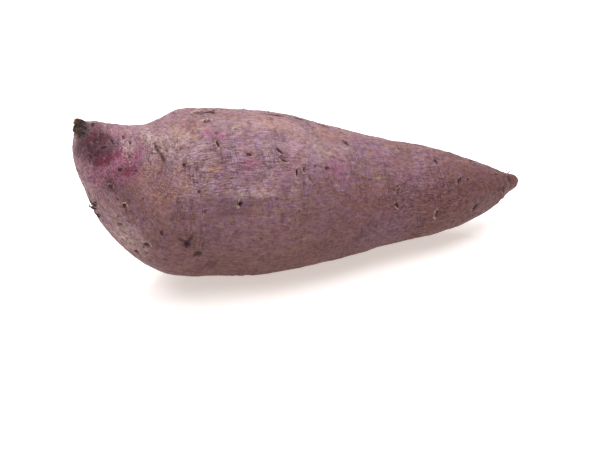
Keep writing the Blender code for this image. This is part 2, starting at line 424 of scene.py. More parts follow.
skin_points = form + normal * relief[:, None]
skin_points[:COLUMNS] = skin_points[:COLUMNS].mean(axis=0)
skin_points[-COLUMNS:] = skin_points[-COLUMNS:].mean(axis=0)

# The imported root's box says where the growing frame lies in the model. The root rests on Z = 0.
cad_low, cad_high = (np.array(corner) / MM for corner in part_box("tuber"))
to_model = (cad_low + cad_high - form.min(axis=0) - form.max(axis=0)) / 2
to_model[2] = 0.0
skin_points = skin_points + to_model
skin_points[:, 2] = np.maximum(skin_points[:, 2], 0.0)


def closed_grid(name, points, rows, columns):
    """A closed mesh from rows of points round a form: quads between rows, a fan at each end row.

    The first and last rows are one point each. The map runs round the form in u and along it in v.
    """
    points = np.concatenate((points[:1], points[columns:-columns], points[-1:]))
    ring = np.arange(columns)
    after = (ring + 1) % columns
    start = 1 + np.arange(rows - 3)[:, None] * columns
    quads = np.stack((start + ring, start + columns + ring, start + columns + after, start + after), -1)
    last = len(points) - 1
    final = last - columns
    stem_fan = np.stack((np.zeros(columns, int), 1 + ring, 1 + after), -1)
    tail_fan = np.stack((final + ring, np.full(columns, last), final + after), -1)
    faces = stem_fan.tolist() + quads.reshape(-1, 4).tolist() + tail_fan.tolist()
    mesh = bpy.data.meshes.new(name)
    mesh.from_pydata((points * MM).tolist(), [], faces)

    def corner(u, v):
        """Map places for one corner of many faces: u and v spread over each other."""
        return np.stack(np.broadcast_arrays(u, v), -1)

    u, v = ring / columns, np.arange(rows) / (rows - 1)
    u_after = (ring + 1) / columns
    u_mid = (u + u_after) / 2
    low, high = v[1:-2, None], v[2:-1, None]
    every_uv = np.concatenate([np.stack(corners, -2).reshape(-1, 2) for corners in (
        (corner(u_mid, 0.0), corner(u, v[1]), corner(u_after, v[1])),
        (corner(u, low), corner(u, high), corner(u_after, high), corner(u_after, low)),
        (corner(u, v[-2]), corner(u_mid, 1.0), corner(u_after, v[-2])),
    )])
    layer = mesh.uv_layers.new(name="OFBake")
    layer.data.foreach_set("uv", every_uv.astype(np.float32).ravel())
    mesh.shade_smooth()
    return mesh


def add_values(mesh, name, values, columns):
    """Stores one number or vector for each point, given in rows like the points of closed_grid."""
    values = np.concatenate((values[:1], values[columns:-columns], values[-1:])).astype(np.float32)
    kind, field = ("FLOAT", "value") if values.ndim == 1 else ("FLOAT_VECTOR", "vector")
    mesh.attributes.new(name, kind, "POINT").data.foreach_set(field, values.ravel())


skin_mesh = closed_grid("skin", skin_points, ROWS, COLUMNS)
skin = placed("skin", skin_mesh)


def patch(place, degrees, long_reach, round_reach, edge, seed):
    """A soft-edged blot on the skin: 1 at its middle and 0 past its reach along and round the root.

    How far off a point is, in reaches, is the length of its two shares, or its share outwards if that
    is more. Two noises of 5 and 2 mm make the border wander, and a smooth step of width edge softens it.
    """
    along, across, outwards, _ = seen_from(place, degrees, 90.0)
    off = np.hypot(along / long_reach, across / round_reach)
    off = np.maximum(off, 0.7 * np.abs(outwards) / max(long_reach, round_reach))
    off = off + 0.30 * smooth_noise(form, 5.0, seed) + 0.16 * smooth_noise(form, 2.0, seed + 1)
    return step_up(-off, -1.0 - edge, -1.0 + edge)


# Colour zones of this skin, some partly painted light: russet and bruise carry painted shade, pale
# carries painted
# # highlights. Each is made of blots: strength, place, degrees round, reach along the root and round it,
# softness of
# # the edge, and seed. The strongest blot at a point counts.
ZONES = {
    "blush": (
        (1.00, 2.75, 30.0, 7.0, 7.0, 0.5, 21),
        (0.90, 2.30, 350.0, 5.0, 9.0, 0.6, 23),
        (0.80, 3.35, 30.0, 4.0, 4.5, 0.5, 24),
        (0.60, 1.60, 320.0, 6.0, 9.0, 0.5, 25),
        (0.35, 8.80, 54.0, 4.5, 4.0, 0.7, 26),
        (0.60, 2.10, 85.0, 6.0, 6.0, 0.6, 27),
        (0.60, 2.20, 170.0, 9.0, 15.0, 0.6, 29),
        (0.50, 1.60, 240.0, 7.0, 12.0, 0.6, 30),
    ),
    "crimson": (
        (1.00, 2.20, 24.0, 1.6, 2.6, 0.5, 31),
        (0.90, 2.45, 42.0, 1.4, 2.0, 0.6, 33),
        (0.90, 3.20, 28.0, 1.9, 2.2, 0.6, 35),
        (0.80, 3.45, 36.0, 1.4, 1.8, 0.6, 36),
        (0.70, 1.95, 4.0, 1.8, 2.4, 0.6, 37),
        (0.70, 1.60, 56.0, 1.4, 1.8, 0.6, 38),
        (0.60, 0.85, 30.0, 1.6, 2.4, 0.7, 39),
        (0.60, 1.90, 190.0, 2.4, 4.0, 0.7, 40),
    ),
    # Bruise: dark purple bruising on the nose and in spots, and painted shade in the lengthwise furrow
    # low on the front (the blot at place 8.30).
    "bruise_and_shade": (
        (1.00, 1.45, 20.0, 6.0, 7.5, 0.4, 41),
        (0.90, 0.95, 350.0, 4.5, 6.0, 0.5, 42),
        (0.90, 1.55, 52.0, 5.5, 4.5, 0.4, 43),
        (0.70, 2.10, 55.0, 2.6, 2.6, 0.6, 44),
        (0.80, 3.00, 355.0, 3.4, 2.8, 0.6, 45),
        (0.50, 3.90, 358.0, 2.6, 1.6, 0.7, 46),
        (0.30, 3.40, 4.0, 6.0, 4.0, 0.7, 48),
        (0.90, 6.80, 354.0, 1.6, 1.4, 0.7, 47),
        (0.80, 7.20, 347.0, 1.5, 1.1, 0.7, 49),
        (0.50, 8.30, 23.0, 8.0, 3.0, 0.7, 50),
        (0.60, 1.30, 210.0, 4.0, 9.0, 0.6, 52),
    ),
    "magenta": (
        (1.00, 7.70, 82.0, 1.2, 0.9, 0.5, 51),
        (1.00, 8.23, 77.0, 0.9, 1.2, 0.5, 53),
        (0.40, 7.95, 80.0, 4.5, 1.2, 0.7, 54),
        (0.15, 8.80, 55.0, 3.0, 3.0, 0.7, 55),
        (0.45, 3.55, 55.0, 1.4, 5.0, 0.6, 56),
        (0.30, 10.51, 56.0, 4.5, 4.0, 0.8, 57),
        (0.10, 9.85, 60.0, 5.0, 8.0, 0.8, 58),
        (0.35, 12.6, 250.0, 6.0, 5.0, 0.8, 59),
        (0.30, 5.20, 150.0, 6.0, 7.0, 0.8, 60),
        (0.45, 10.6, 150.0, 4.0, 3.0, 0.7, 62),
    ),
    "lilac": (
        (0.60, 8.35, 62.0, 4.0, 9.0, 0.6, 101),
        (0.80, 9.30, 58.0, 8.0, 8.0, 0.6, 103),
        (0.80, 9.50, 76.0, 5.0, 5.0, 0.6, 105),
        (0.90, 10.10, 60.0, 5.0, 8.0, 0.6, 107),
        (0.40, 8.10, 38.0, 5.0, 6.0, 0.6, 109),
        (0.30, 7.00, 66.0, 3.0, 4.0, 0.6, 111),
        (0.50, 4.70, 4.0, 4.0, 4.0, 0.7, 113),
        (0.40, 12.4, 60.0, 9.0, 8.0, 0.8, 115),
        (0.70, 11.4, 350.0, 12.0, 8.0, 0.8, 117),
        (0.70, 7.60, 160.0, 12.0, 9.0, 0.8, 119),
        (0.60, 11.2, 200.0, 12.0, 9.0, 0.8, 121),
        (0.70, 6.20, 280.0, 12.0, 12.0, 0.8, 123),
    ),
    # Russet: brown patches of thick cork, and painted shade: the darker front of the body below its lit
    # top, and dark bands round the root where the skin ripples.
    "russet_and_shade": (
        (0.90, 4.10, 10.0, 11.0, 10.0, 0.7, 131),
        (0.90, 5.60, 14.0, 12.0, 11.0, 0.8, 133),
        (0.80, 6.60, 350.0, 13.0, 9.0, 0.8, 135),
        (0.60, 7.30, 20.0, 7.0, 6.0, 0.7, 137),
        (0.80, 7.90, 58.0, 4.0, 8.0, 0.7, 139),
        (0.50, 8.80, 54.0, 5.0, 5.0, 0.7, 140),
        (0.50, 3.00, 350.0, 6.0, 5.0, 0.7, 142),
        (1.10, 8.00, 64.0, 2.4, 15.0, 0.8, 149),
        (0.90, 8.82, 62.0, 2.2, 13.0, 0.7, 165),
        (0.80, 9.57, 60.0, 1.8, 12.0, 0.8, 167),
        (0.40, 10.35, 66.0, 2.4, 10.0, 0.8, 171),
        (0.60, 4.95, 55.0, 2.4, 14.0, 0.8, 169),
        (0.30, 6.90, 92.0, 7.0, 5.0, 0.8, 144),
        (0.60, 10.4, 20.0, 12.0, 9.0, 0.8, 141),
        (0.60, 13.4, 30.0, 12.0, 9.0, 0.8, 143),
        (0.70, 9.20, 250.0, 14.0, 12.0, 0.8, 145),
        (0.60, 5.20, 220.0, 10.0, 12.0, 0.8, 147),
    ),
    "ochre": (
        (0.90, 7.73, 52.0, 2.6, 1.6, 0.5, 61),
        (0.70, 5.98, 32.0, 2.2, 2.4, 0.6, 63),
        (0.60, 7.50, 91.0, 2.8, 1.2, 0.6, 65),
        (0.60, 4.05, 40.0, 2.4, 6.0, 0.7, 66),
        (0.50, 4.95, 62.0, 1.6, 5.0, 0.7, 67),
        (0.50, 3.93, 350.0, 2.4, 2.0, 0.7, 68),
        (0.50, 11.4, 205.0, 4.5, 3.0, 0.7, 69),
        (0.40, 9.60, 95.0, 9.0, 4.0, 0.8, 70),
        (0.50, 10.6, 92.0, 7.0, 4.0, 0.7, 72),
        (0.30, 7.00, 86.0, 7.0, 5.0, 0.8, 74),
        (0.40, 6.60, 52.0, 5.0, 6.0, 0.7, 76),
        (0.30, 5.20, 22.0, 6.0, 6.0, 0.7, 78),
    ),
    # Pale: dusty pale skin, and painted highlights: the lit crests of the neck ridges, and the lit band
    # and light spot beside the lengthwise furrow (places 8.42 and 8.75).
    "pale": (
        (0.55, 2.95, 66.0, 3.2, 4.0, 0.6, 85),
        (0.75, 4.50, 90.0, 3.5, 7.5, 0.7, 71),
        (0.35, 9.40, 92.0, 14.0, 4.0, 0.8, 87),
        (0.55, 5.60, 83.0, 9.0, 7.0, 0.8, 89),
        (0.25, 9.27, 64.0, 1.8, 9.0, 0.8, 93),
        (0.30, 9.90, 68.0, 2.4, 8.0, 0.8, 95),
        (0.50, 2.30, 100.0, 7.0, 4.5, 0.7, 73),
        (0.35, 10.1, 72.0, 10.0, 7.0, 0.8, 91),
        (0.60, 4.70, 325.0, 10.0, 5.0, 0.8, 75),
        (0.50, 8.75, 34.0, 9.0, 1.6, 0.6, 77),
        (0.60, 8.42, 31.0, 1.0, 0.8, 0.5, 79),
        (0.40, 9.60, 230.0, 12.0, 6.0, 0.8, 81),
        (0.50, 0.60, 325.0, 4.0, 4.0, 0.6, 83),
    ),
    "fibrous": (
        (1.00, 8.20, 56.0, 22.0, 13.0, 0.6, 151),
        (0.90, 4.60, 70.0, 8.0, 9.0, 0.6, 153),
        (1.30, 2.30, 35.0, 11.0, 13.0, 0.6, 155),
        (0.70, 5.60, 40.0, 10.0, 9.0, 0.7, 157),
        (0.90, 9.00, 190.0, 24.0, 16.0, 0.7, 159),
        (0.80, 5.00, 300.0, 16.0, 14.0, 0.7, 161),
        (0.90, 12.4, 20.0, 16.0, 12.0, 0.7, 163),
    ),
}

add_values(skin_mesh, "unrolled", unrolled * MM, COLUMNS)
add_values(skin_mesh, "mark_place", mark_place, COLUMNS)
add_values(skin_mesh, "lip", mark_lip, COLUMNS)
for name, blots in ZONES.items():
    strongest = np.maximum.reduce([strength * patch(*blot) for strength, *blot in blots])
    add_values(skin_mesh, name, strongest, COLUMNS)


def srgb(code):
    """A linear colour from an sRGB hex code: each channel undone by the sRGB curve."""
    channels = [int(code[i:i + 2], 16) / 255 for i in (1, 3, 5)]
    return tuple(c / 12.92 if c <= 0.04045 else ((c + 0.055) / 1.055)**2.4 for c in channels) + (1.0,)


def node(tree, kind, settings, inputs):
    """Adds a node: settings are its own properties; inputs are values or the sockets that feed it."""
    made = tree.nodes.new(kind)
    for key, value in settings.items():
        setattr(made, key, value)
    for key, value in inputs.items():
        if isinstance(value, bpy.types.NodeSocket):
            tree.links.new(value, made.inputs[key])
        else:
            made.inputs[key].default_value = value
    return made


def new_material(name):
    """A material with an empty node tree, and that tree."""
    material = bpy.data.materials.new(name)
    material.use_nodes = True
    material.node_tree.nodes.clear()
    return material, material.node_tree


def speckle(tree, vector, size_mm, detail=3.0, roughness=0.55, distortion=0.0, output="Fac"):
    """Noise with features of the given size in millimetres, one number or one for each axis."""
    sizes = np.broadcast_to(np.asarray(size_mm, float), 3)
    scaled = node(tree, "ShaderNodeMapping", {}, {
        "Vector": vector, "Scale": tuple(1.0 / (size * MM) for size in sizes),
    })
    return node(tree, "ShaderNodeTexNoise", {}, {
        "Vector": scaled.outputs["Vector"], "Scale": 1.0, "Detail": detail,
        "Roughness": roughness, "Distortion": distortion,
    }).outputs[output]


def share_of(tree, value, start, full, top=1.0, mask=1.0):
    """How much of a finish shows: a smooth step of value from 0 at start to top at full, times a mask."""
    stepped = node(tree, "ShaderNodeMapRange", {"interpolation_type": "SMOOTHSTEP"}, {
        "Value": value, "From Min": start, "From Max": full, "To Max": top,
    }).outputs["Result"]
    return node(tree, "ShaderNodeMath", {"operation": "MULTIPLY"}, {0: stepped, 1: mask}).outputs[0]


def weighted_sum(tree, total, terms):
    """A first number plus value * weight for every term."""
    for value, weight in terms:
        total = node(tree, "ShaderNodeMath", {"operation": "MULTIPLY_ADD"}, {
            0: value, 1: weight, 2: total,
        }).outputs[0]
    return total


def layered(tree, colour, layers, blend="MIX"):
    """A first colour with others laid over it in turn, each by its share from 0 to 1."""
    for share, over in layers:
        colour = node(tree, "ShaderNodeMix", {"data_type": "RGBA", "blend_type": blend}, {
            0: share, 6: colour, 7: over,
        }).outputs[2]
    return colour


# Corky periderm: thin dry cork over purple cells. It gives a dusty matt mauve with a faint waxy
# # gleam, browner where the cork is thick and lilac where the purple shows through. Parts of the colour
# are
# # painted light: shade towards the ground, a sheen on the top, and blots of shade and highlight among
# the zones.
SKIN_MAUVE = srgb("#82555b")
SKIN_LILAC = srgb("#7b5766")
SKIN_TAN = srgb("#7b5f50")
SKIN_ROSE = srgb("#885662")
SKIN_GREY = srgb("#7e637b")
SKIN_BROWN = srgb("#523136")
SKIN_PAINTED_UNDERSHADE = srgb("#552d28")
SKIN_DUST = srgb("#ac9493")
SKIN_PAINTED_TOP_SHEEN = srgb("#836e6d")
SKIN_BLUSH = srgb("#7b4059")
SKIN_CRIMSON = srgb("#581429")
# Dark bruising, and painted shade in the lengthwise furrow.
SKIN_BRUISE_AND_SHADE = srgb("#391023")
SKIN_MAGENTA = srgb("#8a2767")
SKIN_COOL = srgb("#6d4e66")
# Thick brown cork, and painted shade on the front and in bands round the root.
SKIN_RUSSET_AND_SHADE = srgb("#5d3738")
SKIN_OCHRE = srgb("#916448")
# Dusty pale skin, and painted highlights on crests.
SKIN_PALE_AND_HIGHLIGHT = srgb("#a9918d")
MARK_DARK = srgb("#240a15")
MARK_WARM = srgb("#5c3a30")
MARK_HALO = srgb("#583336")
MARK_LIP = srgb("#b29a90")

cork, tree = new_material("corky_purple_skin")
where = node(tree, "ShaderNodeTexCoord", {}, {}).outputs["Object"]
kept = {
    name: node(tree, "ShaderNodeAttribute", {"attribute_name": name}, {}).outputs
    for name in ("unrolled", "mark_place", "lip", *ZONES)
}
along = kept["unrolled"]["Vector"]
in_mark = kept["mark_place"]["Vector"]

# Patterns, by size in millimetres. Those on the unrolled skin have a size along the root and round it.
broad = speckle(tree, where, 22.0, 3.0, 0.5, 0.8)
blotch = speckle(tree, where, 8.0, 4.0, 0.6, 0.5)
rosy = speckle(tree, along, (11.0, 7.0, 7.0), 4.0, 0.6, 0.5)
belts = speckle(tree, along, (6.0, 26.0, 26.0), 2.0, 0.5, 0.3)
patchy = speckle(tree, along, (6.0, 4.0, 4.0), 2.0, 0.5, 0.4)
flecks = speckle(tree, along, (5.0, 3.4, 3.4), 2.5, 0.6, 0.4)
spots = speckle(tree, along, (2.8, 1.4, 1.4), 2.0, 0.6, 0.4)
tinges = speckle(tree, along, (2.4, 1.1, 1.1), 3.0, 0.65, 0.3)
mottle = speckle(tree, where, 1.7, 3.0, 0.6)
shreds = speckle(tree, where, 1.1, 2.0, 0.6)
grain = speckle(tree, where, 0.70, 1.5, 0.5)
dashes = speckle(tree, along, (4.4, 0.52, 0.52), 2.0, 0.6)
threads = speckle(tree, along, (9.0, 0.9, 0.9), 3.0, 0.6)
girdles = speckle(tree, along, (0.62, 6.0, 6.0), 3.0, 0.65)
girdled = share_of(tree, speckle(tree, along, (10.0, 14.0, 14.0), 2.0), 0.46, 0.62)
girdle_lines = share_of(tree, girdles, 0.52, 0.34, 1.0, girdled)
off_ground = node(tree, "ShaderNodeSeparateXYZ", {}, {0: where}).outputs["Z"]

# Colour from the broadest patterns to the finest, then painted shade (darker and browner towards the
# ground)
# # and a painted sheen (paler and greyer on the top), then this skin's zones, which the mottling breaks
# up.
colour = layered(tree, SKIN_MAUVE, (
    (share_of(tree, broad, 0.42, 0.60), SKIN_LILAC),
    (share_of(tree, blotch, 0.50, 0.66, 0.65), SKIN_TAN),
    (share_of(tree, rosy, 0.50, 0.66, 0.50), SKIN_ROSE),
    (share_of(tree, belts, 0.50, 0.62, 0.30), SKIN_COOL),
    (share_of(tree, belts, 0.48, 0.38, 0.25), SKIN_TAN),
    (share_of(tree, flecks, 0.52, 0.62, 0.56), SKIN_GREY),
    (share_of(tree, flecks, 0.48, 0.38, 0.58), SKIN_TAN),
    (share_of(tree, tinges, 0.52, 0.62, 0.60), SKIN_GREY),
    (share_of(tree, tinges, 0.48, 0.38, 0.62), SKIN_TAN),
    (share_of(tree, spots, 0.56, 0.68, 0.30), SKIN_DUST),
    (share_of(tree, spots, 0.44, 0.34, 0.35), SKIN_BROWN),
    # Painted shade: the skin darkens and browns towards the ground, where the underside lies in shade.
    (share_of(tree, off_ground, 0.063, 0.014, 0.88), SKIN_PAINTED_UNDERSHADE),
    # Painted sheen: the skin turns paler and greyer on the top, where the light falls.
    (share_of(tree, off_ground, 0.042, 0.066, 0.15), SKIN_PAINTED_TOP_SHEEN),
))
colour = layered(tree, colour, [
    (share_of(tree, mottle, 0.28, 0.50, top, kept[name]["Fac"]), over) for name, top, over in (
        ("lilac", 0.50, SKIN_COOL), ("russet_and_shade", 0.50, SKIN_RUSSET_AND_SHADE), ("pale", 0.65, SKIN_PALE_AND_HIGHLIGHT),
        ("ochre", 0.60, SKIN_OCHRE), ("blush", 0.78, SKIN_BLUSH), ("bruise_and_shade", 0.97, SKIN_BRUISE_AND_SHADE),
        ("crimson", 0.90, SKIN_CRIMSON), ("magenta", 0.80, SKIN_MAGENTA),
    )
])

# Fine light and dark: mottling everywhere, and where the skin is fibrous, stronger grain, dashes
# along the root and creases round it. Each channel has its own power, so that light cork is greyer
# and the gaps between its fibres are redder.
fibres = weighted_sum(tree, -1.75, (
    (girdle_lines, -0.21), (grain, 0.95), (dashes, 1.90), (threads, 0.65),
))
fibre_strength = weighted_sum(tree, 0.70, ((kept["fibrous"]["Fac"], 0.85),))
tone = weighted_sum(tree, 0.21, ((fibres, fibre_strength), (mottle, 1.00), (patchy, 0.65)))
tone = node(tree, "ShaderNodeClamp", {}, {"Value": tone, "Min": 0.45, "Max": 1.7}).outputs[0]
tone = node(tree, "ShaderNodeCombineColor", {}, {
    channel: node(tree, "ShaderNodeMath", {"operation": "POWER"}, {0: tone, 1: power}).outputs[0]
    for channel, power in (("Red", 0.88), ("Green", 1.10), ("Blue", 1.06))
}).outputs["Color"]
colour = layered(tree, colour, ((1.0, tone),), "MULTIPLY")
colour = layered(tree, colour, ((share_of(tree, mottle, 0.42, 0.30, 0.35), SKIN_BROWN),))

# How far out from the heart of the nearest mark: 1 at its edge, which a noise makes ragged.
ragged = node(tree, "ShaderNodeVectorMath", {"operation": "SUBTRACT"}, {
    0: speckle(tree, where, 0.8, 3.0, 0.7, output="Color"), 1: (0.5, 0.5, 0.5),
}).outputs[0]
ragged = node(tree, "ShaderNodeVectorMath", {"operation": "MULTIPLY_ADD"}, {
    0: ragged, 1: (2.0, 3.6, 0.0), 2: in_mark,
}).outputs[0]
flat = node(tree, "ShaderNodeVectorMath", {"operation": "MULTIPLY"}, {
    0: ragged, 1: (1.0, 1.0, 0.0),
}).outputs[0]
reach = node(tree, "ShaderNodeVectorMath", {"operation": "LENGTH"}, {0: flat}).outputs["Value"]
crosswise = node(tree, "ShaderNodeSeparateXYZ", {}, {0: ragged}).outputs["Y"]
darkness = node(tree, "ShaderNodeSeparateXYZ", {}, {0: in_mark}).outputs["Z"]

# A mark from outside in: a brown halo, a broken pale lip on one side, and a dark heart with warm shreds.
halo = share_of(tree, reach, 3.0, 1.1, 0.55, darkness)
lip = kept["lip"]["Fac"]
for value, start, full, top in (
    (reach, 0.95, 1.3, 1.0), (reach, 2.2, 1.5, 0.80), (grain, 0.38, 0.52, 1.0),
    (crosswise, -0.9, 0.6, 1.0),
):
    lip = share_of(tree, value, start, full, top, lip)
heart = share_of(tree, reach, 1.35, 0.50, 1.0, darkness)
inside = layered(tree, MARK_DARK, ((share_of(tree, shreds, 0.50, 0.62, 0.55), MARK_WARM),))
colour = layered(tree, colour, ((halo, MARK_HALO), (lip, MARK_LIP), (heart, inside)))

# Relief too fine for the mesh, in millimetres, and a gleam where the cork is smooth and thin.
height = weighted_sum(tree, 0.0, (
    (mottle, 0.30), (dashes, 0.22), (threads, 0.20), (girdle_lines, -0.22), (grain, 0.18), (heart, -0.50),
))
bump = node(tree, "ShaderNodeBump", {}, {"Height": height, "Distance": MM, "Strength": 1.0})
roughness = weighted_sum(tree, 0.50, (
    (heart, 0.30), (share_of(tree, mottle, 0.66, 0.30, 0.22), 1.0),
))
shader = node(tree, "ShaderNodeBsdfPrincipled", {}, {
    "Base Color": colour, "Roughness": roughness, "IOR": 1.36, "Normal": bump.outputs["Normal"],
})
node(tree, "ShaderNodeOutputMaterial", {}, {"Surface": shader.outputs["BSDF"]})
skin_mesh.materials.append(cork)
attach(skin, "root")
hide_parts("tuber")

# --------------------------------------------------
# The vine stub. What is left of the stalk that fed the root: a short ring of dry bark round a
# torn core of fibre bundles, snapped off when the root was pulled.
# --------------------------------------------------

STUB_ROWS, STUB_COLUMNS = 64, 96
# Half width and height along the axis, from the foot inside the skin, over the rim, to the core.
STUB_PROFILE = np.array([
    (0.0, -2.6), (3.0, -2.4), (3.5, -1.6), (3.5, -0.4), (3.5, 0.8), (3.5, 2.0), (3.2, 3.1),
    (2.8, 3.2), (2.2, 2.6), (1.5, 2.2), (0.8, 2.6), (0.0, 2.4),
])
STUB_FULL_HALF = 3.5  # its half width where the bark stands straight
STUB_WIDE, STUB_NARROW = 1.30, 0.82  # shares of the half width across and along the lean
STUB_BEND = (0.4, 0.5)  # how far its end is bent over, across and along the lean
BEND_HEIGHTS = (-0.5, 3.0)  # where the bend begins, and where it is full
TEAR_HEIGHTS = (0.6, 2.6)  # where the tearing begins, and where it is full
FRAY_HEIGHTS = (-0.4, 2.8)  # the same for the colours of torn stalk
CORE_STEPS = (6.0, 8.0)  # steps along the profile over which the core begins
PITH_WAY = -0.6  # the side on which most pith shows, in radians round


def turned_frame(axis):
    """Two directions square to an axis and to each other."""
    side = np.cross(axis, (0.0, 0.0, 1.0))
    side /= np.linalg.norm(side)
    return side, np.cross(side, axis)


# The profile turned about the axis: fluted and rough round, torn up and down near its rim and in its
# core, and bent over towards its end.
profile_step = np.linspace(0.0, len(STUB_PROFILE) - 1, STUB_ROWS)
stub_half, stub_up = (
    np.interp(profile_step, np.arange(len(STUB_PROFILE)), values).repeat(STUB_COLUMNS)
    for values in STUB_PROFILE.T
)
stub_turn = np.tile(np.linspace(0.0, 2 * math.pi, STUB_COLUMNS, endpoint=False), STUB_ROWS)
flutes = 1.0 + 0.05 * np.sin(9 * stub_turn) + 0.07 * np.sin(4 * stub_turn + 1.0)
side, rise = turned_frame(STUB_AXIS)
stub_flat = np.stack((stub_half * np.cos(stub_turn), stub_half * np.sin(stub_turn), stub_up), axis=-1)
core = step_up(profile_step.repeat(STUB_COLUMNS), *CORE_STEPS)
tear = 2.00 * smooth_noise(stub_flat * (1, 1, 0.35), 2.1, 81) + 0.70 * smooth_noise(stub_flat, 0.8, 82)
tear *= np.maximum(step_up(stub_up, *TEAR_HEIGHTS), core)
bark = 0.25 * smooth_noise(stub_flat * (1, 1, 0.4), 0.9, 83)
stub_radius = np.maximum(stub_half * flutes + bark * step_up(stub_half, 0.0, 1.0), 0.0)
stub_top = STUB_BEND[0] * side + STUB_BEND[1] * rise
stub_points = (
    STUB_SEAT + to_model + np.outer(stub_radius * STUB_WIDE * np.cos(stub_turn), side)
    + np.outer(stub_radius * STUB_NARROW * np.sin(stub_turn), rise)
    + np.outer(stub_up + tear, STUB_AXIS) + np.outer(step_up(stub_up, *BEND_HEIGHTS), stub_top)
)
stub_points[:STUB_COLUMNS] = stub_points[:STUB_COLUMNS].mean(axis=0)
stub_points[-STUB_COLUMNS:] = stub_points[-STUB_COLUMNS:].mean(axis=0)
stub_mesh = closed_grid("vine_stub", stub_points, STUB_ROWS, STUB_COLUMNS)
add_values(stub_mesh, "torn", np.maximum(step_up(stub_up, *FRAY_HEIGHTS), core), STUB_COLUMNS)
pith = step_up(np.cos(stub_turn - PITH_WAY) * stub_half / STUB_FULL_HALF, -0.4, 0.4)
add_values(stub_mesh, "pith", pith, STUB_COLUMNS)
stub = placed("vine_stub", stub_mesh)

# Dead stalk tissue: blackened bark, with rusty ochre where dry fibre and corky pith are torn open.
STALK_BLACK = srgb("#13090b")
STALK_BROWN = srgb("#402627")
STALK_OCHRE = srgb("#7d5228")
STALK_STRAW = srgb("#9c8483")
STALK_SKIN = srgb("#735962")
STALK_RELIEF = 0.7  # millimetres between the lowest and highest shreds

stalk, tree = new_material("dead_vine_stalk")
where = node(tree, "ShaderNodeTexCoord", {}, {}).outputs["Object"]
torn_share = node(tree, "ShaderNodeAttribute", {"attribute_name": "torn"}, {}).outputs["Fac"]
pith_share = node(tree, "ShaderNodeAttribute", {"attribute_name": "pith"}, {}).outputs["Fac"]
clumps = speckle(tree, where, 2.6, 2.0, 0.6, 0.8)
shreds = speckle(tree, where, 0.8, 4.0, 0.65)
straw = speckle(tree, where, 1.4, 2.5)
outside = weighted_sum(tree, -1.2, ((shreds, 2.4), (torn_share, 1.0)))
colour = layered(tree, STALK_BLACK, (
    (share_of(tree, shreds, 0.44, 0.60), STALK_BROWN),
    (share_of(tree, clumps, 0.45, 0.53, 0.85, pith_share), STALK_OCHRE),
    (share_of(tree, straw, 0.56, 0.66, 0.65), STALK_STRAW),
    (share_of(tree, outside, 0.55, 0.38, 0.65), STALK_SKIN),
    (share_of(tree, shreds, 0.49, 0.38, 0.85), STALK_BLACK),
))
bump = node(tree, "ShaderNodeBump", {}, {
    "Height": shreds, "Distance": STALK_RELIEF * MM, "Strength": 1.0,
})
shader = node(tree, "ShaderNodeBsdfPrincipled", {}, {
    "Base Color": colour, "Roughness": 0.85, "IOR": 1.5, "Normal": bump.outputs["Normal"],
})
node(tree, "ShaderNodeOutputMaterial", {}, {"Surface": shader.outputs["BSDF"]})
stub_mesh.materials.append(stalk)
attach(stub, "root")
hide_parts("stem_stub")

# --------------------------------------------------
# The stub's loose fibres. Bundles of dry vine fibre that stand out of the torn end, pulled apart
# when the stalk snapped. They are of the stalk's own tissue and grow out of its core.
# --------------------------------------------------


def strands(name, feet, tips, bows, widths, tip_share, rows=9, columns=7):
    """Many thin tapering closed tubes as one mesh.

    Each runs from foot to tip on a parabola bowed out by bow, with a round section whose half width
    shrinks from width to tip_share of it. Both ends close to a point.
    """
    share = np.linspace(0.0, 1.0, rows)
    half = 1.0 - (1.0 - tip_share) * share
    half[0] = half[-1] = 0.0
    share[1], share[-2] = 0.02, 0.97
    turn = np.linspace(0.0, 2 * math.pi, columns, endpoint=False)
    tubes = []
    for foot, tip, bow, width in zip(feet, tips, bows, widths):
        path = foot + np.outer(share, tip - foot) + np.outer(4 * share * (1 - share), bow)
        heading = np.gradient(path, axis=0)
        heading /= np.linalg.norm(heading, axis=1, keepdims=True)
        across = np.cross(heading, (0.31, 0.17, 0.93))
        across /= np.linalg.norm(across, axis=1, keepdims=True)
        up = np.cross(across, heading)
        ring = across[:, None] * np.cos(turn)[:, None] + up[:, None] * np.sin(turn)[:, None]
        points = path[:, None] + ring * (half * width)[:, None, None]
        tubes.append(points.reshape(-1, 3))
    column = np.arange(columns)
    after = (column + 1) % columns
    row = np.arange(rows - 1)[:, None] * columns
    quads = np.stack((row + column, row + columns + column, row + columns + after, row + after), -1)
    first_points = np.arange(len(feet))[:, None, None] * rows * columns
    quads = (first_points + quads.reshape(-1, 4)).reshape(-1, 4)
    mesh = bpy.data.meshes.new(name)
    mesh.from_pydata((np.concatenate(tubes) * MM).tolist(), [], quads.tolist())
    weld = bmesh.new()
    weld.from_mesh(mesh)
    bmesh.ops.remove_doubles(weld, verts=weld.verts, dist=1e-7)
    bmesh.ops.recalc_face_normals(weld, faces=weld.faces)
    weld.to_mesh(mesh)
    weld.free()
    mesh.shade_smooth()
    return placed(name, mesh)


STUB_FIBRES = 26
FIBRE_RINGS = (0.6, 2.9)  # how far off the axis they stand
FIBRE_SPREAD = 0.85  # the share of that at which their feet stand
FIBRE_START = 1.6  # how far up the axis their feet are, inside the core
FIBRE_LENGTHS = (1.2, 2.8)
FIBRE_SPLAYS = (-0.3, 0.6)  # how far their tips stray, in towards the axis or out from it
FIBRE_BOW = 0.15
FIBRE_HALF_WIDTHS = (0.18, 0.42)
FIBRE_TIP = 0.45  # half width near the tip, as a share of the foot's

